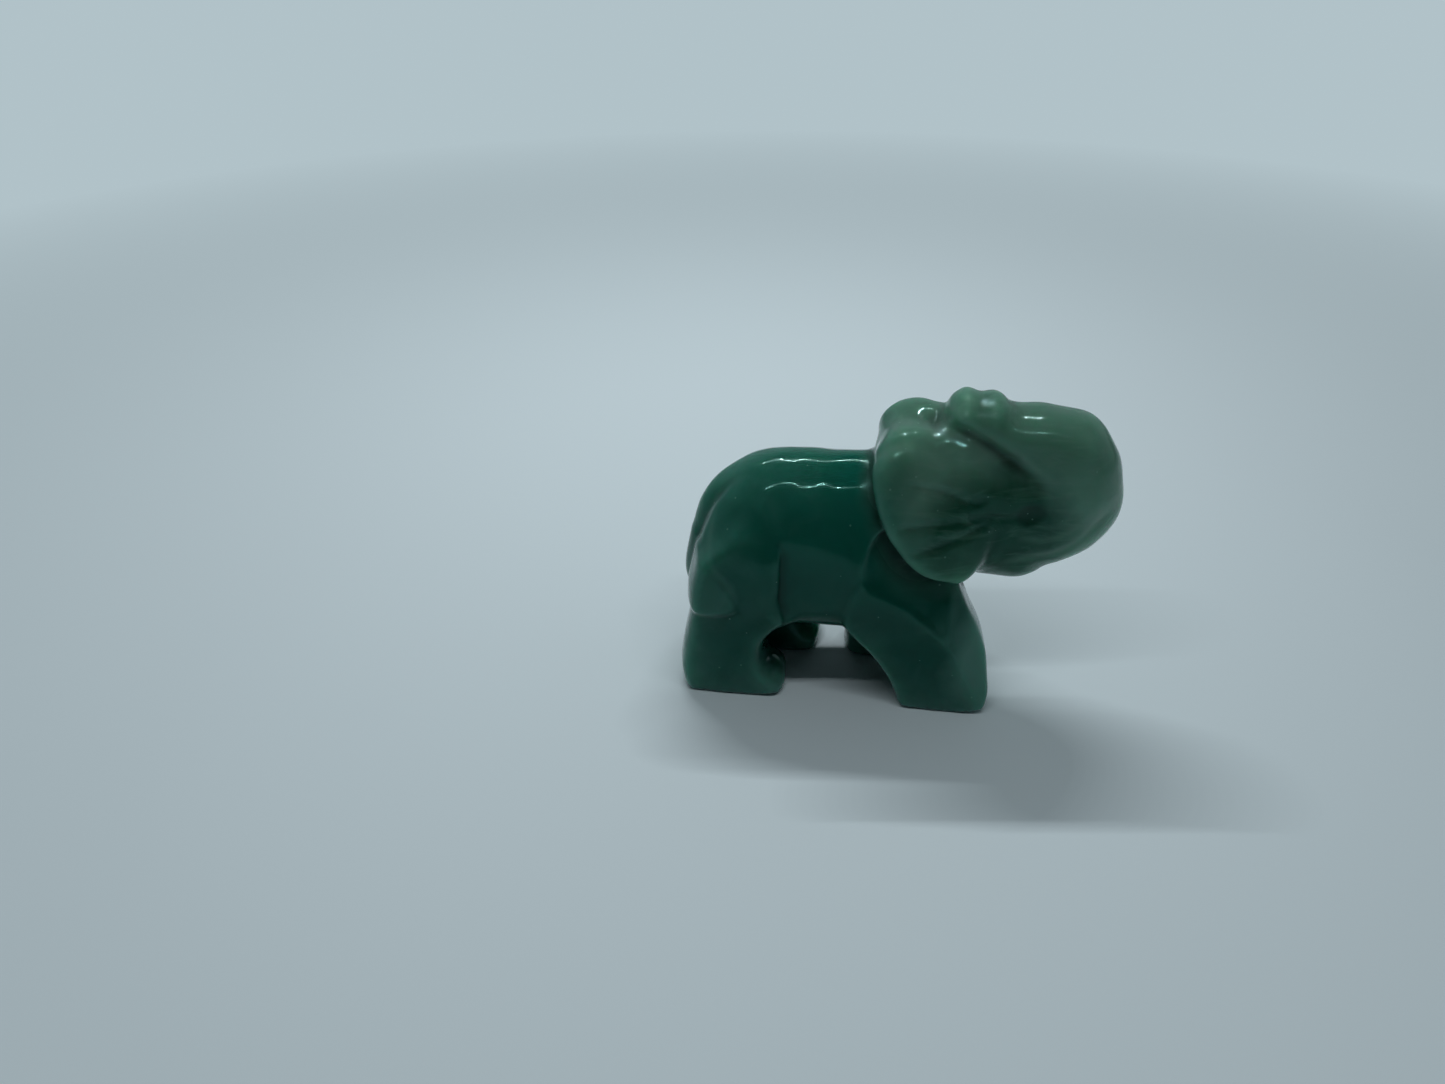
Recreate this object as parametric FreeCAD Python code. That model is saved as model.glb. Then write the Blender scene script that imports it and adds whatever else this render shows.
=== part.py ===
import FreeCAD, Part
import math
import os

# A small elephant carved from one piece of green stone, trunk up, walking, standing on its four feet.
# Millimetres. +X is the way the elephant faces, +Z is up, Z = 0 is the surface it stands on and Y = 0 is
# the carving's middle plane. The elephant's right side is -Y. The origin ends up under the middle of it.

LENGTH = 50.0            # rump to the front of the raised trunk
HEIGHT = 38.9            # feet to the top of the curled-back trunk tip
WIDTH = 19.2             # across the flanks, the widest place

HALF_LENGTH = LENGTH / 2
HALF_WIDTH = WIDTH / 2
BACK_TOP = 30.1          # height of the back
BELLY = 8.1              # height of the arch between the legs
FOOT_HALF_WIDTH = 8.9    # middle plane to the outer side of a foot
SLOT_WIDTH = 1.5         # saw cut that parts the left legs from the right legs
EAR_TOP = 34.6
EAR_THICKNESS = 2.2
EAR_LEAN = 0.20          # sideways per unit of height
TAIL_RADIUS = 1.3
EYE_RADIUS = 1.2
GROOVE_RADIUS = 0.45     # fine carved lines on the ears
TRUNK_GROOVE_RADIUS = 0.6
THIGH_GROOVE_RADIUS = 0.7
FACET_LEAN = 0.30        # how far the flat on the flank leans in, per unit of drop
SECTION_POINTS = 28      # points around one cross section

RIGHT = -1.0
LEFT = 1.0


def vec(x, y, z):
    return FreeCAD.Vector(x, y, z)


def closed_spline(points):
    """Smooth closed wire through the points."""
    curve = Part.BSplineCurve()
    curve.interpolate(points, PeriodicFlag=True)
    return Part.Wire([curve.toShape()])


def open_spline(points):
    """Smooth open wire through the points."""
    curve = Part.BSplineCurve()
    curve.interpolate(points)
    return Part.Wire([curve.toShape()])


def oval(half_a, half_b, power):
    """Offsets around a rounded rectangle: a power of 2 is an ellipse, more is squarer."""
    offsets = []
    for i in range(SECTION_POINTS):
        angle = 2 * math.pi * i / SECTION_POINTS
        c = math.cos(angle)
        s = math.sin(angle)
        a = half_a * math.copysign(abs(c) ** (2 / power), c)
        b = half_b * math.copysign(abs(s) ** (2 / power), s)
        offsets.append((a, b))
    return offsets


def ring_across(x, half_width, z_low, z_high, power=2.0, y_mid=0.0):
    """Upright cross section at a place along the body."""
    z_mid = (z_low + z_high) / 2
    offsets = oval(half_width, (z_high - z_low) / 2, power)
    return closed_spline([vec(x, y_mid + a, z_mid + b) for a, b in offsets])


def ring_level(z, x_rear, x_front, y_inner, y_outer, power=2.6):
    """Level cross section of a leg at a height."""
    x_mid = (x_rear + x_front) / 2
    y_mid = (y_inner + y_outer) / 2
    offsets = oval((x_front - x_rear) / 2, abs(y_outer - y_inner) / 2, power)
    return closed_spline([vec(x_mid + a, y_mid + b, z) for a, b in offsets])


def ring_on_path(centre, tangent, half_width, half_height):
    """Section of the trunk, square to its path, which lies in the middle plane."""
    along = tangent.normalize()
    across = vec(0, 1, 0)
    up = across.cross(along) * -1.0
    offsets = oval(half_width, half_height, 2.0)
    return closed_spline([centre + across * a + up * b for a, b in offsets])


def loft(rings):
    return Part.makeLoft(rings, True, False)


def ellipsoid(centre, radii):
    """Rounded lobe with its three radii along X, Y and Z."""
    stretch = FreeCAD.Matrix()
    stretch.scale(radii[0], radii[1], radii[2])
    ball = Part.makeSphere(1.0).transformGeometry(stretch)
    ball.translate(vec(*centre))
    return ball


def tube(points, radius):
    """Round bar along a smooth path, with round ends."""
    path = open_spline([vec(*p) for p in points])
    edge = path.Edges[0]
    start = edge.valueAt(edge.FirstParameter)
    direction = edge.tangentAt(edge.FirstParameter)
    profile = Part.Wire([Part.makeCircle(radius, start, direction)])
    bar = path.makePipeShell([profile], True, True)
    caps = [Part.makeSphere(radius, vec(*p)) for p in (points[0], points[-1])]
    return bar.fuse(caps)


def torso():
    """Barrel body: steep rump, level back, narrower at the chest, belly well clear of the ground."""
    stations = [
        # x, half width, bottom, top, squareness
        (-HALF_LENGTH + 0.1, 2.2, 12.5, 18.5, 2.2),
        (-HALF_LENGTH + 0.7, 5.4, 10.0, 21.8, 2.2),
        (-HALF_LENGTH + 2.2, 7.5, 8.6, 24.8, 2.2),
        (-19.5, 8.8, BELLY + 0.6, 27.9, 2.2),
        (-15.0, HALF_WIDTH - 0.2, BELLY + 0.2, BACK_TOP - 0.5, 2.2),
        (-10.0, HALF_WIDTH - 0.1, BELLY, BACK_TOP, 2.2),
        (-4.0, HALF_WIDTH - 0.1, BELLY + 0.2, BACK_TOP + 0.1, 2.2),
        (2.0, HALF_WIDTH - 0.4, BELLY + 1.5, BACK_TOP, 2.2),
        (6.5, 7.2, 11.0, 28.0, 2.2),
        (8.5, 4.0, 14.5, 25.0, 2.2),
    ]
    return loft([ring_across(x, w, low, high, power) for x, w, low, high, power in stations])


def leg(side, levels):
    """One leg from its levels: height, rear, front, inner side and outer side."""
    rings = []
    for z, x_rear, x_front, y_inner, y_outer in levels:
        rings.append(ring_level(z, x_rear, x_front, side * y_inner, side * y_outer))
    return loft(rings)


def right_hind_leg():
    """Set back, with the toe pushed forward of the shin."""
    out = FOOT_HALF_WIDTH
    return leg(RIGHT, [
        (0.0, -24.5, -12.9, 0.2, out - 0.2),
        (2.4, -25.0, -12.2, 0.0, out),
        (4.8, -25.0, -14.4, 0.0, out),
        (7.8, -24.7, -14.6, 0.0, out + 0.2),
        (11.0, -24.2, -12.8, 0.0, out + 0.5),
        (15.0, -23.9, -11.6, 0.0, out + 0.5),
        (20.0, -22.8, -13.0, 0.0, out - 1.2),
    ])


def right_front_leg():
    """Reaching forward, leaning from the shoulder."""
    out = FOOT_HALF_WIDTH
    return leg(RIGHT, [
        (0.0, 2.2, 11.9, 0.2, out - 0.2),
        (2.4, 1.0, 12.5, 0.0, out),
        (5.0, -0.2, 12.2, 0.0, out),
        (8.0, -2.3, 11.5, 0.0, out + 0.2),
        (11.5, -5.4, 10.6, 0.0, out + 0.4),
        (16.0, -5.0, 8.6, 0.0, out + 0.4),
        (20.0, -3.5, 7.2, 0.0, out - 0.6),
    ])


def left_hind_leg():
    """Brought forward under the belly."""
    out = FOOT_HALF_WIDTH
    return leg(LEFT, [
        (0.0, -21.2, -9.0, 0.2, out - 0.2),
        (2.4, -21.8, -8.3, 0.0, out),
        (4.8, -22.4, -10.3, 0.0, out),
        (7.8, -23.0, -10.6, 0.0, out + 0.2),
        (11.0, -23.6, -10.8, 0.0, out + 0.5),
        (15.0, -23.9, -11.2, 0.0, out + 0.5),
        (20.0, -22.8, -13.0, 0.0, out - 1.2),
    ])


def left_front_leg():
    """Trailing, almost upright."""
    out = FOOT_HALF_WIDTH
    return leg(LEFT, [
        (0.0, -4.6, 6.2, 0.2, out - 0.2),
        (2.4, -5.1, 6.8, 0.0, out),
        (5.0, -5.1, 6.7, 0.0, out),
        (8.0, -5.2, 6.8, 0.0, out + 0.2),
        (11.5, -5.4, 7.3, 0.0, out + 0.4),
        (16.0, -5.0, 8.0, 0.0, out + 0.4),
        (20.0, -3.5, 7.2, 0.0, out - 0.6),
    ])


def head():
    """Deep head that runs straight into the thick front bend of the trunk."""
    stations = [
        # x, half width, bottom, top
        (-3.5, 4.6, 21.0, 29.0),
        (-1.0, 6.4, 19.4, 31.8),
        (3.0, 7.2, 18.4, 34.0),
        (8.0, 6.9, 17.8, 35.0),
        (13.0, 5.9, 18.0, 35.8),
        (17.0, 4.9, 18.3, 36.2),
        (20.0, 4.3, 19.1, 35.2),
        (22.4, 3.7, 20.8, 33.2),
        (24.0, 2.8, 22.9, 30.9),
        (HALF_LENGTH - 0.1, 1.3, 25.3, 28.6),
    ]
    return loft([ring_across(x, w, low, high) for x, w, low, high in stations])


def trunk():
    """Upper run of the trunk, laid back over the forehead, with a knuckled tip."""
    stations = [
        # x, z, direction x, direction z, half width, half height
        (20.6, 31.4, 0.35, 1.0, 3.7, 3.3),
        (18.2, 33.6, -1.0, 0.62, 3.9, 3.2),
        (14.6, 34.4, -1.0, 0.06, 3.8, 3.0),
        (11.0, 34.9, -1.0, 0.18, 3.5, 3.0),
        (7.6, 35.3, -1.0, 0.12, 3.3, 3.1),
    ]
    rings = []
    for x, z, dx, dz, half_width, half_height in stations:
        rings.append(ring_on_path(vec(x, 0, z), vec(dx, 0, dz), half_width, half_height))
    knuckles = [
        ellipsoid((6.5, 0.0, HEIGHT - 3.4), (2.3, 3.3, 3.4)),
        ellipsoid((9.5, 0.0, HEIGHT - 3.5), (1.9, 3.3, 3.3)),
    ]
    return loft(rings).fuse(knuckles)


def lower_lip():
    return ellipsoid((13.0, 0.0, 18.7), (3.8, 3.3, 2.5))


def ear(side):
    """Fan-shaped ear lying back over the shoulder, its lower edge standing further out."""
    outline = [
        (0.6, EAR_TOP), (-2.2, EAR_TOP - 1.2), (-3.4, 31.2), (-2.6, 27.6), (-1.2, 24.4),
        (0.8, 21.6), (3.6, 19.6), (7.2, 18.5), (9.2, 20.6), (9.8, 25.0), (8.4, 29.6),
        (5.4, 33.0), (3.2, EAR_TOP - 0.3),
    ]
    x_mid = 3.0
    z_mid = 26.5
    layers = []
    for reach, size in ((-1.6, 0.90), (-0.5, 0.98), (0.5, 0.97), (1.0, 0.84)):
        y_face = 6.3 + EAR_THICKNESS * reach
        points = []
        for x, z in outline:
            px = x_mid + (x - x_mid) * size
            pz = z_mid + (z - z_mid) * size
            points.append(vec(px, side * (y_face - EAR_LEAN * (pz - z_mid)), pz))
        layers.append(closed_spline(points))
    return loft(layers)


def tail():
    """Tail down the middle of the rump, its tuft swept round on to the right haunch."""
    bar = tube([
        (-18.5, 0.0, 27.9), (-21.6, 0.0, 25.4), (-23.5, -0.3, 21.6),
        (-24.2, -1.4, 18.0), (-23.3, -4.2, 15.8),
    ], TAIL_RADIUS)
    tuft = ellipsoid((-21.6, -6.3, 15.6), (3.0, 3.1, 3.9))
    return bar.fuse(tuft)


def leg_slot():
    """Saw cut between the left and right legs, with a round top just below the belly."""
    half = SLOT_WIDTH / 2
    length = LENGTH + 4.0
    below = 0.5            # starts under the feet
    round_top = BELLY - 0.5 - half
    straight = Part.makeBox(length, SLOT_WIDTH, round_top + below, vec(-length / 2, -half, -below))
    top = Part.makeCylinder(half, length, vec(-length / 2, 0, round_top), vec(1, 0, 0))
    return straight.fuse(top)


def flank_facet(side):
    """Flat cut on the lower flank between the legs, leaning in towards the belly."""
    outline = [(-12.2, 21.6), (-8.8, 21.4), (-4.2, 18.8), (-5.4, 12.0), (-5.6, 5.0), (-11.6, 5.0), (-12.4, 12.0)]
    y_top = HALF_WIDTH - 0.15
    z_top = 21.6
    clear = 6.0            # reaches past the outside of the body
    points = [vec(x, side * (y_top - FACET_LEAN * (z_top - z)), z) for x, z in outline]
    points.append(points[0])
    face = Part.Face(Part.makePolygon(points))
    return face.extrude(vec(0, side * clear, 0))


def thigh_groove(side):
    """Curved line that sets the haunch off from the flank."""
    y = side * (HALF_WIDTH + 0.1)
    return tube([
        (-12.6, y * 0.93, 23.6), (-13.9, y * 0.99, 20.0), (-14.0, y * 1.0, 16.5), (-12.9, y * 0.98, 12.6),
    ], THIGH_GROOVE_RADIUS)


def ear_grooves(side):
    """Three lines that fan back across the ear."""
    lines = [
        [(8.6, 7.3, 26.6), (4.6, 8.6, 27.6), (0.0, 8.6, 29.2)],
        [(8.9, 7.6, 24.8), (4.8, 8.9, 24.6), (0.8, 9.2, 24.4)],
        [(8.6, 8.0, 23.0), (5.6, 9.3, 21.8), (3.0, 9.7, 20.8)],
    ]
    return [tube([(x, side * y, z) for x, y, z in line], GROOVE_RADIUS) for line in lines]


def trunk_groove(side):
    """Line between the forehead and the trunk that lies on it."""
    return tube([
        (4.6, side * 3.9, 36.2), (8.0, side * 4.4, 34.6), (11.4, side * 4.7, 33.4), (15.0, side * 5.2, 31.2),
    ], TRUNK_GROOVE_RADIUS)


def eye(side):
    """Round drilled eye."""
    return Part.makeSphere(EYE_RADIUS, vec(14.4, side * 6.1, 26.6))


def elephant():
    """Everything is one stone: the raised shapes are joined, then the cuts are taken out."""
    raised = [
        right_hind_leg(), right_front_leg(), left_hind_leg(), left_front_leg(),
        head(), trunk(), lower_lip(), ear(RIGHT), ear(LEFT), tail(),
    ]
    body = torso()
    for shape in raised:
        body = body.fuse(shape)
    cuts = [leg_slot()]
    for side in (RIGHT, LEFT):
        cuts.append(flank_facet(side))
        cuts.append(thigh_groove(side))
        cuts.append(trunk_groove(side))
        cuts.append(eye(side))
        cuts.extend(ear_grooves(side))
    for shape in cuts:
        body = body.cut(shape)
    return body


def centred(shape):
    """Moves the shape so that the origin is under the middle of it, on the standing surface."""
    box = shape.optimalBoundingBox(True, False)
    shape.translate(vec(-(box.XMin + box.XMax) / 2, -(box.YMin + box.YMax) / 2, -box.ZMin))
    return shape


os.makedirs("parts", exist_ok=True)
carving = centred(elephant())
carving.exportStep("parts/elephant_carving.step")
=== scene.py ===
import math

import bpy
import numpy as np
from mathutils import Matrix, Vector


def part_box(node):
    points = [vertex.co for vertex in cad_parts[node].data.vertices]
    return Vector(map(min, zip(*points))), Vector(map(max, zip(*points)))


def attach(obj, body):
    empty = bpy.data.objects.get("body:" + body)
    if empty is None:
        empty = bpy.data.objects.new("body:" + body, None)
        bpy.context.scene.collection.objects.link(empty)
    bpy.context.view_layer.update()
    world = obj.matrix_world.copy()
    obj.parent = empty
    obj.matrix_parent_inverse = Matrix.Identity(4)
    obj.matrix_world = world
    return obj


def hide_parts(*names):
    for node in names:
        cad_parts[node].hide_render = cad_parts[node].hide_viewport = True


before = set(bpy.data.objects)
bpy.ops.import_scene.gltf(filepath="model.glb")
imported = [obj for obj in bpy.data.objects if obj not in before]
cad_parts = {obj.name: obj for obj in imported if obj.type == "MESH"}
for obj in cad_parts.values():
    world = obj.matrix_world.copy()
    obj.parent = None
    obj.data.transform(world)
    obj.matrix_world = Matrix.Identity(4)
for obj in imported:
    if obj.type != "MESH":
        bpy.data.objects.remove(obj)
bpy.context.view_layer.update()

# One carved elephant in clouded green stone. It is sculpted as a field of signed distances, worked in
# millimetres, turned into one closed skin and fitted to the box of the CAD carving.

NODE = "elephant_carving"
GRID_STEP = 0.27                      # spacing of the sculpting grid
GRID_MARGIN = 1.1                     # empty space around the carving
EYE = (14.2, 26.9)                    # middle of the eye in the side view
SLOT_HALF = 0.75                      # half the saw cut between each pair of legs
TENT_TURN = math.radians(7.5)         # the tent stands turned from the carving
LAMP_SPACING = 0.0085                 # metres between the lamps of a strip
CAMERA_PLACE = (-0.006086, -0.111517, 0.0895)
CAMERA_PITCH = math.radians(32.83)    # how far it looks down
CAMERA_LENS = 27.03                   # on a sensor 36 mm wide
FLOOR_RADIUS = 1.5

# ---- The sculpting space: x forward, y to the left, z up. The right side is y < 0.
LOW = np.array([-25.4, -10.4, 0.0]) - GRID_MARGIN
HIGH = np.array([25.2, 10.4, 39.0]) + GRID_MARGIN
AXES = [np.arange(LOW[i], HIGH[i] + GRID_STEP, GRID_STEP) for i in range(3)]
X = AXES[0][:, None, None]
Y = AXES[1][None, :, None]
Z = AXES[2][None, None, :]
SIDE = np.abs(Y)
FLAT_X, FLAT_Z = np.meshgrid(AXES[0], AXES[2], indexing="ij")


def spline(points, closed=False, steps=8):
    """Points along a smooth curve through the given ones."""
    p = np.asarray(points, float)
    n = len(p)
    out = []
    for i in range(n if closed else n - 1):
        if closed:
            a, b, c, d = (p[(i + k) % n] for k in (-1, 0, 1, 2))
        else:
            b, c = p[i], p[i + 1]
            a = p[i - 1] if i > 0 else 2 * b - c
            d = p[i + 2] if i + 2 < n else 2 * c - b
        for s in range(steps):
            t = s / steps
            out.append(0.5 * (2 * b + (c - a) * t + (2 * a - 5 * b + 4 * c - d) * t ** 2
                              + (3 * b - a - 3 * c + d) * t ** 3))
    if not closed:
        out.append(p[-1])
    return np.array(out)


def path_distance(points, closed=False):
    """Side-view distance to a smooth path, and how far along it the nearest place is (0 to 1)."""
    curve = spline(points, closed)
    ends = np.roll(curve, -1, 0) if closed else curve[1:]
    starts = curve if closed else curve[:-1]
    best = np.full(FLAT_X.shape, 1e9)
    along = np.zeros(FLAT_X.shape)
    inside = np.zeros(FLAT_X.shape, bool)
    for i, (a, b) in enumerate(zip(starts, ends)):
        d = b - a
        px = FLAT_X - a[0]
        pz = FLAT_Z - a[1]
        t = np.clip((px * d[0] + pz * d[1]) / (d @ d + 1e-12), 0, 1)
        gap = (px - t * d[0]) ** 2 + (pz - t * d[1]) ** 2
        nearer = gap < best
        best[nearer] = gap[nearer]
        along[nearer] = ((i + t) / len(starts))[nearer]
        if closed and d[1] != 0:
            crosses = (a[1] <= FLAT_Z) != (b[1] <= FLAT_Z)
            inside ^= crosses & (px < pz * d[0] / d[1])
    gap = np.sqrt(best)
    if closed:
        gap[inside] *= -1
    return gap, along


def outline(points):
    """Signed side-view distance to a closed smooth outline, as a slice of the grid."""
    return path_distance(points, closed=True)[0][:, None, :]


def smooth_join(a, b, width):
    """What is inside either, with the corner between them filled over `width`."""
    blend = np.maximum(width - np.abs(a - b), 0) / width
    return np.minimum(a, b) - blend * blend * width / 4


def smooth_cut(a, b, width):
    """What is inside both."""
    return -smooth_join(-a, -b, width)


def pillow(flat, half, edge, y=Y, power=2.0):
    """A slab of the given outline, half as thick as said, whose faces round off over `edge` to its rim."""
    q = np.maximum(edge + flat, 0) / edge
    t = np.abs(y) / half
    norm = (q ** power + t ** power + 1e-9) ** (1 / power)
    slope = np.sqrt((q ** (power - 1) / edge) ** 2 + (t ** (power - 1) / half) ** 2) / norm ** (power - 1)
    return (norm - 1) / np.maximum(slope, 0.05)


def ramp(value, stations):
    """Smooth curve through (value, result) stations."""
    xs, ys = zip(*stations)
    fine = np.linspace(xs[0], xs[-1], 200)
    rough = np.interp(fine, xs, ys)
    kernel = np.hanning(23)
    kernel /= kernel.sum()
    padded = np.pad(rough, 11, mode="edge")
    return np.interp(value, fine, np.convolve(padded, kernel, mode="valid"))


def step(value, start, end):
    """0 before the start, 1 past the end, and a smooth rise between."""
    t = np.clip((value - start) / (end - start), 0, 1)
    return t * t * (3 - 2 * t)


def torso():
    """The barrel of the body, rounder on top than along the belly."""
    shape = outline([
        (-24.3, 15), (-24.0, 19), (-23.2, 22.6), (-21.6, 25.6), (-19.2, 28.0), (-15.9, 29.6), (-12, 30.1),
        (-6, 30.2), (0, 30.4), (5, 29), (8, 25), (8.4, 20), (7.4, 14.5), (4, 10.6), (-1, 8.8),
        (-5, 8.1), (-9, 8.1), (-14, 8.4), (-19, 8.6), (-23, 10),
    ])
    edge = ramp(AXES[2], [(6, 6.0), (12, 7.0), (16, 8.6), (19, 11.8), (22, 13.0), (40, 13.0)])[None, None, :]
    edge = edge * ramp(AXES[0], [(-26, 0.72), (-19, 0.74), (-12, 1.0), (10, 1.0)])[:, None, None]
    half = ramp(AXES[0], [
        (-26, 8.5), (-20, 8.85), (-16, 9.1), (-10, 9.5), (-4, 9.2), (2, 8.8), (9, 7.4),
    ])[:, None, None]
    return pillow(shape, half, edge, power=1.85)


FRONT_SIDES = [(0, 8.9), (5, 9.0), (12, 9.45), (20, 9.5), (26, 8.4)]
HIND_SIDES = [(0, 8.9), (5, 9.0), (12, 9.45), (17, 9.45), (19.5, 9.25), (21.5, 8.75), (23.3, 8.0), (25, 6.8)]


def leg(points, side, sides, facets=(), edge=1.5):
    """One leg: flat-sided with rounded edges, its inner face on the saw cut between the pairs of legs."""
    shape = outline(points)
    outer = ramp(AXES[2], sides)[None, None, :]
    half = (outer - SLOT_HALF) / 2
    body = pillow(shape, half, edge, side * Y - (outer + SLOT_HALF) / 2, power=2.2)
    for plane in facets:
        body = smooth_cut(body, plane, 0.15)
    return body


def slanted(px, pz, nx, nz, y0, slope):
    """Plane at y0 along the line through (px, pz) square to (nx, nz), leaning in by slope from there."""
    size = math.hypot(nx, nz)
    u = ((X - px) * nx + (Z - pz) * nz) / size
    return (SIDE - y0 + slope * u) / math.hypot(1, slope)


def right_hind_leg():
    return leg([
        (-24.6, 0.2), (-25.1, 2.6), (-24.9, 6), (-24.3, 9.5), (-23.7, 13), (-23.3, 17), (-22.5, 19.8),
        (-20.0, 22.0), (-16.8, 23.4), (-14.7, 21.8), (-13.9, 17), (-13.0, 14), (-11.7, 11.9), (-13.2, 10.0),
        (-14.5, 7.8), (-14.7, 5.2), (-14.0, 3.3), (-12.8, 2.2), (-12.1, 1.2), (-12.8, -0.3),
        (-18, -1.2), (-23.5, -0.8),
    ], -1, HIND_SIDES)


def right_front_leg():
    facets = [
        slanted(-1.4, 16.6, -0.585, -0.811, 9.42, 0.05),
        slanted(8.4, 9.0, 0.91, 0.42, 8.65, 0.85),
    ]
    return leg([
        (2.4, -0.2), (1.2, 1.8), (0, 4.4), (-2, 7.5), (-4.2, 9.9), (-5.5, 12), (-5.2, 15), (-4, 19),
        (0, 22.6), (5, 22), (6.8, 19), (7.9, 16.3), (9.4, 13.2), (10.9, 10.2), (11.8, 7.3), (12.4, 4.2),
        (12.6, 2.0), (11.9, 0.2), (7, -0.8),
    ], -1, FRONT_SIDES, facets, 0.9)


def left_hind_leg():
    return leg([
        (-21.4, 0.2), (-21.9, 2.6), (-22.6, 6), (-23.2, 9.5), (-23.5, 13), (-23.3, 17), (-22.5, 19.8),
        (-20, 22.0), (-16.8, 23.4), (-14.7, 21.8), (-13.4, 17.6), (-11.8, 13.4), (-10.6, 10), (-10.9, 7.4),
        (-11.0, 5.4), (-10.1, 3.6), (-8.7, 2.7), (-8.3, 1.5), (-9.1, -0.3), (-14, -1.2), (-20, -0.8),
    ], 1, HIND_SIDES)


def left_front_leg():
    return leg([
        (-4.4, -0.2), (-5.1, 2.0), (-5.2, 6), (-5.4, 9.5), (-5.6, 12), (-5.2, 15), (-4, 19), (0, 22.6),
        (5, 22), (7.2, 19), (7.8, 16), (7.6, 12), (7.0, 8), (6.8, 4.5), (6.7, 2), (6.0, 0.2), (1, -0.8),
    ], 1, FRONT_SIDES)


def head():
    """Head and raised trunk front in one, widest at the cheeks."""
    shape = outline([
        (-3.4, 22), (-3.0, 28), (-1, 31.4), (3, 34.0), (4.8, 35.3), (6.4, 35.5), (9, 34.7), (12, 33.5),
        (15.2, 33.6),
        (18.4, 35.8), (20.2, 35.6), (22.1, 33.4), (23.4, 31.2), (24.3, 29.1), (24.9, 26.9), (24.8, 25),
        (24.1, 23), (23.0, 21.3), (21.6, 19.9), (20, 18.9), (18, 18.1), (15, 17.7), (11, 17.3), (7, 17.3),
        (3, 18.2), (-1, 19.6),
    ])
    half = ramp(AXES[0], [
        (-4, 6.4), (2, 7.2), (8, 7.2), (13, 6.1), (18, 4.8), (22, 4.2), (25, 3.9),
    ])[:, None, None]
    edge = ramp(AXES[2], [(17, 4.4), (24, 5.2), (34, 5.8)])[None, None, :]
    return pillow(shape, half, edge)


def trunk():
    """The trunk lies back over the forehead. Its sides turn under along a ridge that fades out forwards."""
    shape = outline([
        (4.5, 37.6), (5.6, 38.8), (6.6, 38.95), (7.8, 38.55), (9.1, 38.8), (10.2, 38.5), (11.2, 37.6),
        (12.4, 37.35), (14.6, 37.4), (16.6, 37.1), (18.6, 36.5), (20.2, 35.7), (21.6, 34.1), (22.8, 31.6),
        (22.6, 28.4), (19.8, 26.4), (17.0, 28.6), (14.4, 30.6), (12.4, 32.0), (10.5, 33.1), (8.6, 34.1),
        (6.7, 35.0), (4.8, 36.0),
    ])
    half = ramp(AXES[0], [(4, 3.5), (9, 4.1), (13, 4.6), (18, 4.8), (22, 4.3)])[:, None, None]
    edge = 1.7 + 1.1 * step(Z + 0.52 * X - 39.6, 0, 2)
    return pillow(shape, half, edge)


def crown():
    """The saddle of the head between the ears."""
    shape = outline([
        (-3.0, 27), (-3.3, 30.6), (-2.8, 33.0), (-1.2, 34.6), (1.2, 35.1), (3.0, 34.4), (4.6, 34.6),
        (8, 33.4), (8, 29), (3, 26),
    ])
    return pillow(shape, 5.6, 3.0)


def lower_lip():
    """The small swelling under the jaw."""
    shape = outline([
        (9.0, 17.4), (10.4, 16.7), (12.6, 16.3), (14.6, 16.3), (16.1, 17.0), (17.0, 18.4), (16, 22), (10, 22),
    ])
    return pillow(shape, 4.9, 3.4)


def ear(side, shift=0.0, lift=0.0):
    """A fan that grows out of the cheek and stands proud of the shoulder along its back and lower edges."""
    points = [
        (0.8, 35.0), (-1.6, 34.3), (-3.2, 32.4), (-3.4, 30.0), (-2.7, 27.6), (-1.7, 25.2), (-0.4, 23.2),
        (1.4, 21.0), (3.2, 19.7), (5.4, 19.1), (7.4, 18.8), (9.0, 19.9), (10.4, 22.5), (11.6, 26.0),
        (10.6, 30.0), (7.4, 32.6), (3.4, 34.1),
    ]
    shape = outline([(x + shift * step(z, 20, 30), z + lift * step(z, 28, 34)) for x, z in points])
    edge = ramp(AXES[2], [(18, 1.3), (25, 1.5), (30, 3.0), (36, 4.4)])[None, None, :]
    half = ramp(AXES[2], [(18, 1.6), (27, 1.8), (36, 3.2)])[None, None, :]
    outer = ramp(AXES[2], [(17, 9.3), (20, 8.9), (25, 7.9), (29, 6.9), (33, 5.9), (37, 5.2)])[None, None, :]
    swell = 0.4 * np.exp(-((X - 3) ** 2 + (Z - 27) ** 2) / 40)
    outer = outer + 0.15 * (8 - X) - 0.3 * np.maximum(X - 7, 0) + swell
    return pillow(shape, half, edge, side * Y - (outer - half), power=2.2)


def engrave(field, points, width, depth, mask=1.0, ends=6):
    """Presses a line into the sides, fading out towards its ends."""
    gap, along = path_distance(points)
    fade = np.sqrt(np.clip(np.minimum(along, 1 - along) * ends, 0, 1))
    line = depth * fade * np.exp(-(gap / width) ** 2)
    return field + line[:, None, :] * mask


def side_plane(x, z, y, grow_x, grow_z):
    """Plane whose distance from the middle is y at (x, z) and changes by grow_x and grow_z per millimetre."""
    return (SIDE - y - grow_x * (X - x) - grow_z * (Z - z)) / math.sqrt(1 + grow_x ** 2 + grow_z ** 2)


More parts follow.
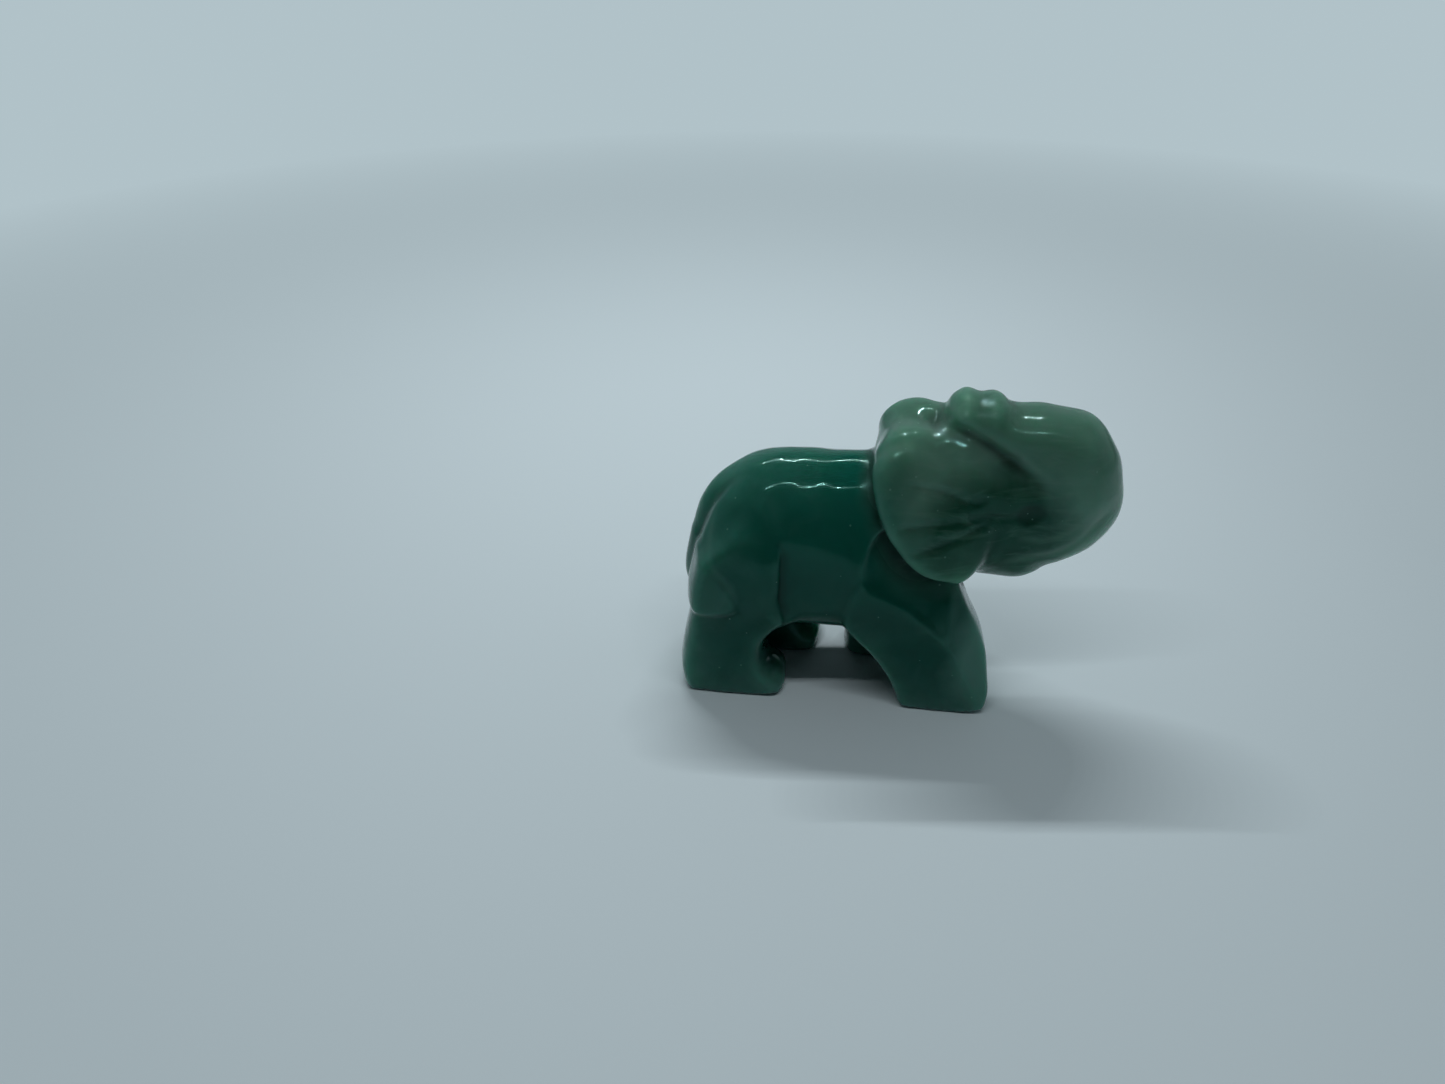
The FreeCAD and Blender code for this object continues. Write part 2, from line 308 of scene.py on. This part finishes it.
def flank_facets(field, right):
    """Flat cuts on the lower flanks, between the legs. Each is deepest along the thigh."""
    front = [(-9, 27), (-4, 24), (-3.6, 19.6), (-4.6, 16.8), (-5.8, 13.6), (-6.5, 9), (-9, 5)]
    right_region = outline(front + [(-12, 5), (-12.4, 11.5), (-13.0, 15), (-13.1, 20), (-12.6, 25.5)])
    left_region = outline(front + [(-10, 5), (-10.9, 11.0), (-12.3, 15), (-13.3, 20), (-14.0, 25.5)])
    region = np.where(right > 0, right_region, left_region)
    plane = side_plane(-12.5, 22.7, 8.2, 0.085, -0.03)
    return smooth_cut(field, -np.maximum(-plane, 0.4 * region), 0.22)


def shoulder_facet(field, right):
    """The hollow between the ear and the upper edge of the front leg."""
    region = outline([
        (-2.9, 17.6), (-1.4, 16.8), (1.4, 15.5), (3.0, 14.3), (4.5, 12.9), (6.0, 11.2), (8.4, 8.6),
        (10.4, 12.5), (9.0, 19), (4, 23), (0, 25), (-2.6, 23.4), (-3.6, 20),
    ])
    plane = slanted(-1.4, 16.6, 0.585, 0.811, 9.32, 0.43)
    cut = smooth_cut(field, -np.maximum(-plane, 0.8 * region), 0.12)
    return np.where(right > 0, cut, field)


def path_gap(points):
    """Distance in space to a smooth path."""
    curve = spline(points, steps=5)
    best = np.full((len(AXES[0]), len(AXES[1]), len(AXES[2])), 1e3)
    for a, b in zip(curve[:-1], curve[1:]):
        d = b - a
        t = np.clip(((X - a[0]) * d[0] + (Y - a[1]) * d[1] + (Z - a[2]) * d[2]) / (d @ d), 0, 1)
        gap = (X - a[0] - t * d[0]) ** 2 + (Y - a[1] - t * d[1]) ** 2 + (Z - a[2] - t * d[2]) ** 2
        best = np.minimum(best, gap)
    return np.sqrt(best)


def tail(field):
    """The tail lies along the rump in low relief and ends in a tuft laid against the right thigh."""
    gap = path_gap([
        (-15.5, 0.0, 30.2), (-18.6, -0.2, 28.4), (-21.4, -0.5, 25.7), (-23.0, -0.8, 22.4),
        (-23.9, -1.3, 18.6), (-24.0, -2.2, 14.5),
    ])
    relief = 0.34 * np.exp(-((gap - 2.3) / 0.75) ** 2) - 0.45 * np.exp(-(gap / 1.5) ** 2)
    field = field + relief * step(-Z, -29.0, -25.0)
    tuft = outline([
        (-25.0, 19.9), (-22.8, 19.7), (-21.2, 18.8), (-19.8, 17.4), (-18.7, 15.9), (-17.9, 14.4),
        (-18.0, 13.4), (-19.8, 12.7), (-22.0, 12.5), (-24.0, 12.9), (-25.2, 13.6), (-25.8, 16.5),
    ])
    height = 0.1 + 0.32 * step(-Z, -19.5, -15.0)
    tuft = smooth_cut(smooth_cut(tuft, field - height, 0.5), Y + 0.2, 0.8)
    return smooth_join(field, tuft, 0.35)


def unevenness():
    """Slow waves a few hundredths of a millimetre high: stone polished by hand is never quite true."""
    waves = [
        (0.9, 0.4, 1.1, 0.3, 0.020), (-0.7, 1.1, 0.8, 1.9, 0.018), (1.5, -0.6, -0.9, 4.0, 0.012),
        (0.5, 1.4, -1.7, 2.6, 0.010), (-1.9, 0.8, 1.2, 5.1, 0.007), (2.2, 1.3, 1.6, 0.8, 0.005),
    ]
    return sum(high * np.sin(a * X + b * Y + c * Z + phase) for a, b, c, phase, high in waves)


UNDER_TRUNK = [(3.6, 36.7), (5.7, 35.7), (7.6, 34.7), (9.5, 33.6), (11.8, 32.0), (14.6, 30.5), (18.0, 29.0)]
JAW_LINE = [(10.0, 22.6), (14.2, 21.4), (17.4, 21.4), (19.6, 22.6), (21.4, 24.6), (22.6, 26.8)]
EAR_LINES = [
    [(0.4, 30.8), (1.5, 30.5), (3.7, 30.2), (5.5, 29.5), (7.0, 28.9), (8.5, 28.9), (9.0, 29.7)],
    [(-0.4, 25.8), (0.5, 25.9), (4.1, 26.4), (7.7, 26.7), (9.4, 26.9), (11.4, 26.6), (13.2, 26.9)],
    [(1.2, 22.6), (2.5, 23.2), (4.3, 23.8), (6.1, 24.6), (8.3, 25.6), (10.0, 26.2)],
]


def body_and_legs():
    right = np.where(Y < 0, 1.0, 0.0)
    body = torso()
    for part in (right_hind_leg(), left_hind_leg()):
        body = smooth_join(body, part, 2.2)
    for part in (right_front_leg(), left_front_leg()):
        body = smooth_join(body, part, 1.2)
    body = flank_facets(body, right)
    body = shoulder_facet(body, right)
    return tail(body)


def face(outer):
    """Head, lip, trunk with the groove under it, and the saddle behind it."""
    shape = smooth_join(head(), lower_lip(), 1.6)
    shape = smooth_join(shape, trunk(), 3.0)
    shape = engrave(shape, UNDER_TRUNK, 1.3, 0.34, outer, 3)
    return smooth_join(shape, crown(), 1.6)


def elephant():
    """The whole carving as one field, negative inside."""
    outer = step(SIDE, 2.0, 3.5)
    body = smooth_join(body_and_legs(), face(outer), 1.0)
    ear_blend = 0.45 + 2.4 * step(6.2 - SIDE, 0, 2.5) * step(Z, 29.5, 32)
    body = smooth_join(body, ear(-1), ear_blend)
    body = smooth_join(body, ear(1, 0.9, 0.95), ear_blend)
    for line in EAR_LINES:
        body = engrave(body, line, 0.42, 0.27, outer)
    body = engrave(body, JAW_LINE, 0.6, 0.16, outer)
    eye = np.exp(-(((X - EYE[0]) / 1.35) ** 2 + ((Z - EYE[1]) / 1.2) ** 2) ** 2)
    body = body + 0.30 * eye * outer
    body = body + unevenness()
    return smooth_cut(body, -Z, 0.5)


def soften(field, rounds):
    """Takes the last roughness off a field, as tumbling does to stone."""
    for _ in range(rounds):
        for axis in range(3):
            back = np.roll(field, 1, axis)
            ahead = np.roll(field, -1, axis)
            field = 0.5 * field + 0.25 * (back + ahead)
    return field


def slices(shape, axis, along, shifts):
    """Index of the grid edges along an axis that belong to every cell, at one of its four corners."""
    picks = []
    others = iter(shifts)
    for a in range(3):
        shift = along if a == axis else next(others)
        picks.append(slice(shift, shape[a] - 1 + shift))
    return tuple(picks)


def cell_points(field, solid):
    """One point in each grid cell that the surface passes through, and the cells' numbers (-1 for none)."""
    cells = tuple(n - 1 for n in field.shape)
    total = np.zeros(cells + (3,))
    count = np.zeros(cells)
    index = np.indices(cells)
    for axis in range(3):
        for corner in ((0, 0), (1, 0), (1, 1), (0, 1)):
            here = slices(field.shape, axis, 0, corner)
            after = slices(field.shape, axis, 1, corner)
            crossed = solid[here] != solid[after]
            share = np.where(crossed, field[here] / (field[here] - field[after] + 1e-30), 0)
            count += crossed
            others = iter(corner)
            for a in range(3):
                place = index[a] + (share if a == axis else next(others))
                total[..., a] += np.where(crossed, place, 0)
    used = count > 0
    number = np.full(cells, -1)
    number[used] = np.arange(used.sum())
    points = total[used] / count[used][:, None] * GRID_STEP + np.array([a[0] for a in AXES])
    return points, number


def faces_across(solid, number, axis):
    """Quads around the grid edges along one axis that leave the stone, turned to face outwards."""
    b, c = [k for k in range(3) if k != axis]
    low = [slice(1, -1)] * 3
    high = [slice(1, -1)] * 3
    low[axis] = slice(0, -1)
    high[axis] = slice(1, None)
    first = solid[tuple(low)]
    crossed = first != solid[tuple(high)]
    where = np.argwhere(crossed)
    where[:, b] += 1
    where[:, c] += 1
    ring = []
    for db, dc in ((-1, -1), (0, -1), (0, 0), (-1, 0)):
        cell = where.copy()
        cell[:, b] += db
        cell[:, c] += dc
        ring.append(number[tuple(cell.T)])
    ring = np.stack(ring, 1)
    outward = first[crossed] if axis != 1 else ~first[crossed]
    ring[~outward] = ring[~outward][:, ::-1]
    return ring


def skin(field):
    """Quad mesh over the zero surface."""
    solid = field < 0
    points, number = cell_points(field, solid)
    return points, np.concatenate([faces_across(solid, number, axis) for axis in range(3)])


def sample(grid, points):
    """Grid values at points in space, by straight interpolation."""
    place = (points - np.array([a[0] for a in AXES])) / GRID_STEP
    base = np.clip(np.floor(place).astype(int), 0, np.array(grid.shape) - 2)
    part = place - base
    value = np.zeros(len(points))
    for dx in (0, 1):
        for dy in (0, 1):
            for dz in (0, 1):
                weight = (np.where(dx, part[:, 0], 1 - part[:, 0]) * np.where(dy, part[:, 1], 1 - part[:, 1])
                          * np.where(dz, part[:, 2], 1 - part[:, 2]))
                value += weight * grid[base[:, 0] + dx, base[:, 1] + dy, base[:, 2] + dz]
    return value


def settle(points, quads, field, rounds):
    """Evens out the spacing of the points and puts them back on the surface."""
    slopes = np.gradient(field, GRID_STEP)
    edges = np.concatenate([quads[:, [k, (k + 1) % 4]] for k in range(4)])
    neighbours = np.bincount(edges[:, 0], minlength=len(points))[:, None]
    for _ in range(rounds):
        sums = [np.bincount(edges[:, 0], points[edges[:, 1], k], len(points)) for k in range(3)]
        middle = np.stack(sums, 1) / neighbours
        points = points + 0.5 * (middle - points)
        for _ in range(2):
            slope = np.stack([sample(g, points) for g in slopes], 1)
            size = np.maximum((slope ** 2).sum(1, keepdims=True), 0.05)
            points = points - sample(field, points)[:, None] * slope / size
    return points


def blurred(grid, reach):
    """Box average over +-reach cells along every axis, twice."""
    for _ in range(2):
        for axis in range(3):
            before = np.take(grid, [0] * (reach + 1), axis)
            after = np.take(grid, [-1] * reach, axis)
            padded = np.concatenate([before, grid, after], axis)
            run = np.cumsum(padded, axis)
            n = grid.shape[axis]
            upper = np.take(run, range(2 * reach + 1, 2 * reach + 1 + n), axis)
            lower = np.take(run, range(0, n), axis)
            grid = (upper - lower) / (2 * reach + 1)
    return grid


PALE_VEINS = [
    # width, strength, path in the side view, in mm
    (0.55, 0.50, [(12.0, 20.6), (14.9, 21.3), (17.9, 21.6), (19.9, 22.8), (21.5, 24.9), (23.2, 27.6)]),
    (0.40, 0.30, [(13.0, 24.2), (16.5, 23.6), (19.0, 24.6), (20.6, 26.6)]),
    (0.50, 0.45, [
        (4.8, 37.1), (6.7, 36.2), (8.6, 35.3), (10.5, 34.4), (12.4, 33.3), (14.4, 32.0), (16.5, 30.8),
    ]),
    (0.35, 0.30, [(-17.5, 28.4), (-20.2, 26.6), (-21.4, 23.5), (-21.2, 20.0), (-19.6, 17.6), (-17.8, 15.6)]),
    (0.35, 0.35, [(-2.9, 32.6), (-1.4, 34.0), (0.8, 34.7)]),
]


def veins(paths):
    """How strongly each place of the side view is coloured by the veins, as a slice of the grid."""
    tint = np.zeros(FLAT_X.shape)
    for width, strength, path in paths:
        gap, along = path_distance(path)
        fade = np.sqrt(np.clip(np.minimum(along, 1 - along) * 5, 0, 1))
        tint = np.maximum(tint, strength * fade * np.exp(-(gap / width) ** 2))
    return tint[:, None, :]


def add_attribute(mesh, name, values):
    """Stores a value per point for the material to read."""
    attribute = mesh.attributes.new(name, "FLOAT", "POINT")
    attribute.data.foreach_set("value", values.astype(np.float32))


def build_carving(material):
    """Sculpts, skins and fits the carving. `bulk` is how much stone lies around a point."""
    field = soften(elephant(), 1)
    points, quads = skin(field)
    points = settle(points, quads, field, 3)
    bulk = sample(blurred((field < 0).astype(float), 16), points)
    low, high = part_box(NODE)
    size = np.array(high - low)
    span = points.max(0) - points.min(0)
    placed = (points - points.min(0)) / span * size + np.array(low)
    mesh = bpy.data.meshes.new("elephant_stone")
    mesh.vertices.add(len(placed))
    mesh.vertices.foreach_set("co", placed.ravel())
    mesh.loops.add(quads.size)
    mesh.loops.foreach_set("vertex_index", quads.ravel())
    mesh.polygons.add(len(quads))
    mesh.polygons.foreach_set("loop_start", np.arange(0, quads.size, 4))
    mesh.polygons.foreach_set("loop_total", np.full(len(quads), 4))
    mesh.polygons.foreach_set("use_smooth", np.ones(len(quads), bool))
    mesh.update(calc_edges=True)
    mesh.validate()
    add_attribute(mesh, "bulk", bulk)
    add_attribute(mesh, "pale_vein", sample(np.broadcast_to(veins(PALE_VEINS), field.shape), points))
    eye = np.hypot((points[:, 0] - EYE[0]) / 1.12, points[:, 2] - EYE[1])
    add_attribute(mesh, "eye", np.where(np.abs(points[:, 1]) > 2, np.clip((1.75 - eye) / 0.6, 0, 1), 0))
    # The material uses this attribute for painted light: a painted highlight on ridges and painted shade in
    # creases.
    add_attribute(mesh, "ridge_and_crease_shading", sample(blurred((field < 0).astype(float), 3), points))
    piece = bpy.data.objects.new("elephant_stone", mesh)
    bpy.context.scene.collection.objects.link(piece)
    mesh.materials.append(material)
    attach(piece, "root")
    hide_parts(NODE)


class Nodes:
    """Short way to write a node tree."""

    def __init__(self, tree):
        self.tree = tree
        tree.nodes.clear()

    def add(self, kind, inputs=None, **settings):
        node = self.tree.nodes.new(kind)
        for name, value in settings.items():
            setattr(node, name, value)
        for name, value in (inputs or {}).items():
            socket = node.inputs[name]
            if isinstance(value, bpy.types.NodeSocket):
                self.tree.links.new(value, socket)
            else:
                socket.default_value = value
        return node

    def attribute(self, name):
        return self.add("ShaderNodeAttribute", attribute_name=name).outputs["Fac"]

    def noise(self, where, scale, detail, roughness, distortion=0.0):
        return self.add("ShaderNodeTexNoise", {
            "Vector": where, "Scale": scale, "Detail": detail, "Roughness": roughness,
            "Distortion": distortion,
        }).outputs["Fac"]

    def math(self, operation, a, b=0.0):
        return self.add("ShaderNodeMath", {0: a, 1: b}, operation=operation).outputs[0]

    def mix(self, factor, a, b, blend="MIX"):
        node = self.add("ShaderNodeMix", data_type="RGBA", blend_type=blend)
        for name, value in (("Factor", factor), ("A", a), ("B", b)):
            wanted = "VALUE" if name == "Factor" else "RGBA"
            socket = next(i for i in node.inputs if i.name == name and i.enabled and i.type == wanted)
            if isinstance(value, bpy.types.NodeSocket):
                self.tree.links.new(value, socket)
            else:
                socket.default_value = value
        return [o for o in node.outputs if o.type == "RGBA"][0]

    def ramp(self, factor, stops):
        node = self.add("ShaderNodeValToRGB", {"Fac": factor})
        ramp_stops = node.color_ramp.elements
        while len(ramp_stops) < len(stops):
            ramp_stops.new(0.5)
        for stop, (place, colour) in zip(ramp_stops, stops):
            stop.position = place
            stop.color = colour
        return node.outputs["Color"]

    def grey_ramp(self, factor, stops):
        return self.ramp(factor, [(place, (v, v, v, 1)) for place, v in stops])


def colour(r, g, b):
    return (r, g, b, 1.0)


def side_distance(n, x, z, middle, radii):
    """Distance in the side view from a place, as a share of the radii."""
    across = n.math("DIVIDE", n.math("SUBTRACT", x, middle[0]), radii[0])
    up = n.math("DIVIDE", n.math("SUBTRACT", z, middle[1]), radii[1])
    return n.math("SQRT", n.math("ADD", n.math("MULTIPLY", across, across), n.math("MULTIPLY", up, up)))


PALE_CLOUDS_AND_SHEEN = [
    # middle, radii (metres, side view), how cloudy by distance
    ((0.0128, 0.0070), (0.0066, 0.0120), [(0.45, 0.95), (1.0, 0.0)]),    # front shin
    # Painted sheen: the tuft is painted paler.
    ((-0.0218, 0.0155), (0.0042, 0.0042), [(0.6, 0.35), (1.0, 0.0)]),    # tuft of the tail
    # Painted reflection: the rump is painted paler where it turns away and mirrors the bright tent.
    ((-0.0235, 0.0240), (0.0050, 0.0070), [(0.2, 0.4), (1.0, 0.0)]),     # rump
]
CHEEK_MIDDLE = (0.0105, 0.0240)
CHEEK_RADII = (0.0105, 0.0095)


def head_paleness(n, axes, wander):
    """The stone turns paler from the neck forwards and upwards."""
    neck = n.math("ADD", axes.outputs["X"], n.math("MULTIPLY", axes.outputs["Z"], 0.35))
    forward = n.math("MULTIPLY", n.math("ADD", neck, wander), 50.0)
    pale = n.grey_ramp(forward, [(0.22, 0.0), (0.60, 1.0)])
    upward = n.math("MULTIPLY", axes.outputs["Z"], 25.0)
    return n.math("MULTIPLY", pale, n.grey_ramp(upward, [(0.38, 0.0), (0.50, 1.0)]))


def pale_clouds_glow_and_sheen(n, x, z, height, pale, thin_glow):
    """Pale clouds and painted light: painted glow in thin places, the head paler around the deep green cheek,
    a pale cloud on the front shin, and painted sheen on the tuft and the rump.
    """
    cheek = side_distance(n, x, z, CHEEK_MIDDLE, CHEEK_RADII)
    around = n.grey_ramp(n.math("MULTIPLY", cheek, 0.5), [(0.29, 0.0), (0.41, 0.48), (0.51, 1.0)])
    rim = n.math("MULTIPLY", pale, around)
    rim = n.math("MULTIPLY", rim, n.grey_ramp(height, [(0.70, 0.80), (0.95, 0.44)]))
    # Painted glow: thin places are painted paler.
    pale_cloud_glow_sheen = n.math("MAXIMUM", n.math("MULTIPLY", thin_glow, 0.7), rim)
    for middle, radii, stops in PALE_CLOUDS_AND_SHEEN:
        pale_cloud_glow_sheen = n.math("MAXIMUM", pale_cloud_glow_sheen, n.grey_ramp(side_distance(n, x, z, middle, radii), stops))
    return pale_cloud_glow_sheen


def painted_thin_glow(n, bulk, clouds):
    """Near 1 where the stone is thin. There it is painted paler, a painted glow of light passing through thin
    stone.
    """
    uneven = n.math("MULTIPLY", n.math("SUBTRACT", clouds, 0.5), 0.16)
    stops = [(0.20, 1.0), (0.29, 0.70), (0.36, 0.34), (0.44, 0.08), (0.52, 0.0)]
    return n.grey_ramp(n.math("ADD", bulk, uneven), stops)


def deep_green(n, height, pale):
    """Deep green that changes with height: a little lighter low on the legs, darkest at mid-height, lightest
    along the back; bluer or greyer in the head.
    """
    body = n.ramp(height, [
        (0.10, colour(0.0028, 0.080, 0.057)), (0.33, colour(0.0022, 0.060, 0.042)),
        (0.45, colour(0.0026, 0.070, 0.050)), (0.62, colour(0.0040, 0.108, 0.076)),
    ])
    return n.mix(pale, body, colour(0.006, 0.062, 0.036))


def painted_ridge_light_and_hollow_shade(n, base, light, recess_shade_and_matte):
    """Painted light and shade: ridges painted a little paler as a painted highlight, engraved lines and
    hollows painted darker as painted shade.
    """
    ridge_and_crease_shading = n.attribute("ridge_and_crease_shading")
    # Painted highlight: convex ridges and rims are painted paler.
    base = n.mix(n.grey_ramp(ridge_and_crease_shading, [(0.30, 0.35), (0.45, 0.0)]), base, light)
    # Painted shade: engraved lines and creases are painted darker.
    base = n.mix(n.grey_ramp(ridge_and_crease_shading, [(0.53, 0.0), (0.64, 0.5)]), base, colour(0.002, 0.022, 0.012))
    # Painted shade: deep hollows, where stone surrounds a point, are painted nearly black green.
    return n.mix(n.math("MULTIPLY", recess_shade_and_matte, 0.8), base, colour(0.001, 0.014, 0.007))


def streaked(n, where, base, light, pale):
    """Fine streaks drawn out along the head, and the few broad pale ones."""
    scale = (1.0, 2.2, 4.5)
    stretched = n.add("ShaderNodeMapping", {"Vector": where, "Scale": scale, "Rotation": (0.0, 0.35, 0.0)})
    streaks = n.noise(stretched.outputs[0], 140.0, 5.0, 0.6, 1.2)
    streak = n.grey_ramp(streaks, [(0.50, 0.0), (0.66, 1.0)])
    base = n.mix(n.math("MULTIPLY", streak, n.math("MULTIPLY", pale, 0.20)), base, light)
    return n.mix(n.attribute("pale_vein"), base, light)


def pale_specks_painted_glint(n, where, base):
    """Sparse pale flecks inside the stone. They are real flakes, painted paler than the stone as painted
    glints.
    """
    cells = n.add("ShaderNodeTexVoronoi", {"Vector": where, "Scale": 1500.0}, feature="F1")
    chance = n.add("ShaderNodeSeparateColor", {0: cells.outputs["Color"]}).outputs[0]
    close = n.math("LESS_THAN", cells.outputs["Distance"], 0.18)
    fleck_glint = n.math("MULTIPLY", n.math("GREATER_THAN", chance, 0.975), close)
    # Painted glint: each fleck is painted pale.
    return n.mix(n.math("MULTIPLY", fleck_glint, 0.22), base, colour(0.3, 0.55, 0.45))


def polish(n, where):
    """The faint ripple that is left in a tumbled polish."""
    ripple = n.add("ShaderNodeTexNoise", {"Vector": where, "Scale": 700.0, "Detail": 2.0})
    bump = {"Height": ripple.outputs["Fac"], "Strength": 0.15, "Distance": 0.0001}
    return n.add("ShaderNodeBump", bump).outputs["Normal"]


def jade_material():
    """Clouded green stone: deep on the body, pale on the head, polished and slightly see-through."""
    material = bpy.data.materials.new("jade")
    material.use_nodes = True
    n = Nodes(material.node_tree)
    where = n.add("ShaderNodeTexCoord").outputs["Object"]
    axes = n.add("ShaderNodeSeparateXYZ", {0: where})
    bulk = n.attribute("bulk")
    wander = n.math("MULTIPLY", n.math("SUBTRACT", n.noise(where, 90.0, 4.0, 0.55), 0.5), 0.007)
    x = n.math("ADD", axes.outputs["X"], wander)
    z = n.math("ADD", axes.outputs["Z"], wander)
    height = n.math("MULTIPLY", axes.outputs["Z"], 25.0)
    clouds = n.noise(where, 240.0, 6.0, 0.6, 0.8)
    pale = head_paleness(n, axes, wander)
    light = n.mix(pale, colour(0.090, 0.220, 0.180), colour(0.170, 0.325, 0.250))
    # Deep hollows: painted shade in the colour, and a rougher, matte polish in the roughness.
    recess_shade_and_matte = n.grey_ramp(bulk, [(0.53, 0.0), (0.62, 1.0)])
    # The pale mix holds the stone's clouds and also painted light: a painted glow where the stone is thin,
    # and painted sheen on the tuft and the rump.
    pale_cloud_glow_sheen = pale_clouds_glow_and_sheen(n, x, z, height, pale, painted_thin_glow(n, bulk, clouds))
    base = n.mix(pale_cloud_glow_sheen, deep_green(n, height, pale), light)
    base = painted_ridge_light_and_hollow_shade(n, base, light, recess_shade_and_matte)
    base = streaked(n, where, base, light, pale)
    base = n.mix(n.math("MULTIPLY", n.attribute("eye"), 0.75), base, colour(0.002, 0.026, 0.011))
    base = pale_specks_painted_glint(n, where, base)
    rough = n.grey_ramp(clouds, [(0.3, 0.03), (0.7, 0.08)])
    rough = n.math("ADD", rough, n.math("MULTIPLY", recess_shade_and_matte, 0.6))
    shader = n.add("ShaderNodeBsdfPrincipled", {
        "Base Color": base, "Roughness": rough, "IOR": 1.54, "Normal": polish(n, where),
        "Specular IOR Level": 0.25, "Specular Tint": colour(0.45, 1.0, 0.88),
        "Subsurface Weight": 1.0, "Subsurface Radius": (0.32, 1.0, 0.68), "Subsurface Scale": 0.008,
    })
    n.add("ShaderNodeOutputMaterial", {"Surface": shader.outputs[0]})
    return material


TENT_SEEN = colour(0.44, 0.54, 0.58)


def floor_material():
    """Pale cloth that runs up into the back of the tent, so it has no edge."""
    material = bpy.data.materials.new("pale_floor")
    material.use_nodes = True
    n = Nodes(material.node_tree)
    shader = n.add("ShaderNodeBsdfPrincipled", {"Base Color": colour(0.76, 0.85, 0.89), "Roughness": 0.8})
    where = n.add("ShaderNodeTexCoord").outputs["Object"]
    away = n.add("ShaderNodeVectorMath", {0: where}, operation="LENGTH").outputs["Value"]
    far = n.grey_ramp(n.math("MULTIPLY", away, 2.0), [(0.18, 0.0), (0.62, 1.0)])
    eye_only = n.math("MULTIPLY", far, n.add("ShaderNodeLightPath").outputs["Is Camera Ray"])
    haze = n.add("ShaderNodeEmission", {"Color": TENT_SEEN, "Strength": 1.0})
    cover = n.add("ShaderNodeMixShader", {0: eye_only, 1: shader.outputs[0], 2: haze.outputs[0]})
    n.add("ShaderNodeOutputMaterial", {"Surface": cover.outputs[0]})
    return material


def build_floor():
    """One wide disc."""
    turns = np.linspace(0, 2 * math.pi, 96, endpoint=False)
    rim = [(math.cos(a) * FLOOR_RADIUS, math.sin(a) * FLOOR_RADIUS, 0.0) for a in turns]
    mesh = bpy.data.meshes.new("floor")
    mesh.from_pydata(rim, [], [list(range(len(rim)))])
    mesh.materials.append(floor_material())
    floor = bpy.data.objects.new("floor", mesh)
    bpy.context.scene.collection.objects.link(floor)


def build_world():
    """A white photo tent: bright overhead and behind, open and dark in front."""
    world = bpy.data.worlds.new("studio")
    bpy.context.scene.world = world
    world.use_nodes = True
    n = Nodes(world.node_tree)
    direction = n.add("ShaderNodeTexCoord").outputs["Generated"]
    axes = n.add("ShaderNodeSeparateXYZ", {0: direction})
    backward = n.math("MULTIPLY", n.math("ADD", axes.outputs["Y"], 1.0), 0.5)
    walls = n.ramp(backward, [
        (0.20, colour(0.006, 0.007, 0.008)),
        (0.42, colour(0.22, 0.26, 0.28)),
        (0.75, colour(0.23, 0.28, 0.30)),
    ])
    above = n.grey_ramp(axes.outputs["Z"], [(0.50, 0.0), (0.75, 1.0)])
    tent = n.mix(above, walls, colour(0.06, 0.07, 0.075))
    seen = n.mix(n.add("ShaderNodeLightPath").outputs["Is Camera Ray"], tent, TENT_SEEN)
    background = n.add("ShaderNodeBackground", {"Color": seen, "Strength": 1.0})
    n.add("ShaderNodeOutputWorld", {"Surface": background.outputs[0]})


def led_row(name, middle, count, power):
    """A strip of small lamps across the top of the tent. The tent stands turned a little from the object."""
    lamp = bpy.data.lights.new(name, "AREA")
    lamp.shape = "DISK"
    lamp.size = 0.0026
    lamp.energy = power / count
    lamp.color = (0.92, 0.98, 1.0)
    along = Vector((math.cos(TENT_TURN), math.sin(TENT_TURN), 0))
    for i in range(count):
        lamp_object = bpy.data.objects.new(f"{name}_{i:02d}", lamp)
        lamp_object.location = Vector(middle) + along * ((i - (count - 1) / 2) * LAMP_SPACING)
        lamp_object.rotation_euler = (0, 0, TENT_TURN)
        lamp_object.visible_camera = False
        bpy.context.scene.collection.objects.link(lamp_object)


def build_camera():
    """Looks down at the right side, square to the tent."""
    data = bpy.data.cameras.new("camera")
    data.sensor_width = 36.0
    data.lens = CAMERA_LENS
    data.clip_start = 0.001
    camera = bpy.data.objects.new("camera", data)
    camera.location = CAMERA_PLACE
    camera.rotation_euler = (math.pi / 2 - CAMERA_PITCH, 0, TENT_TURN)
    bpy.context.scene.collection.objects.link(camera)
    bpy.context.scene.camera = camera


build_carving(jade_material())
build_floor()
build_world()
led_row("back_strip", (-0.034, 0.104, 0.215), 20, 0.255)
led_row("front_strip", (-0.016, -0.072, 0.215), 24, 0.100)
build_camera()
bpy.context.scene.view_settings.view_transform = "Standard"
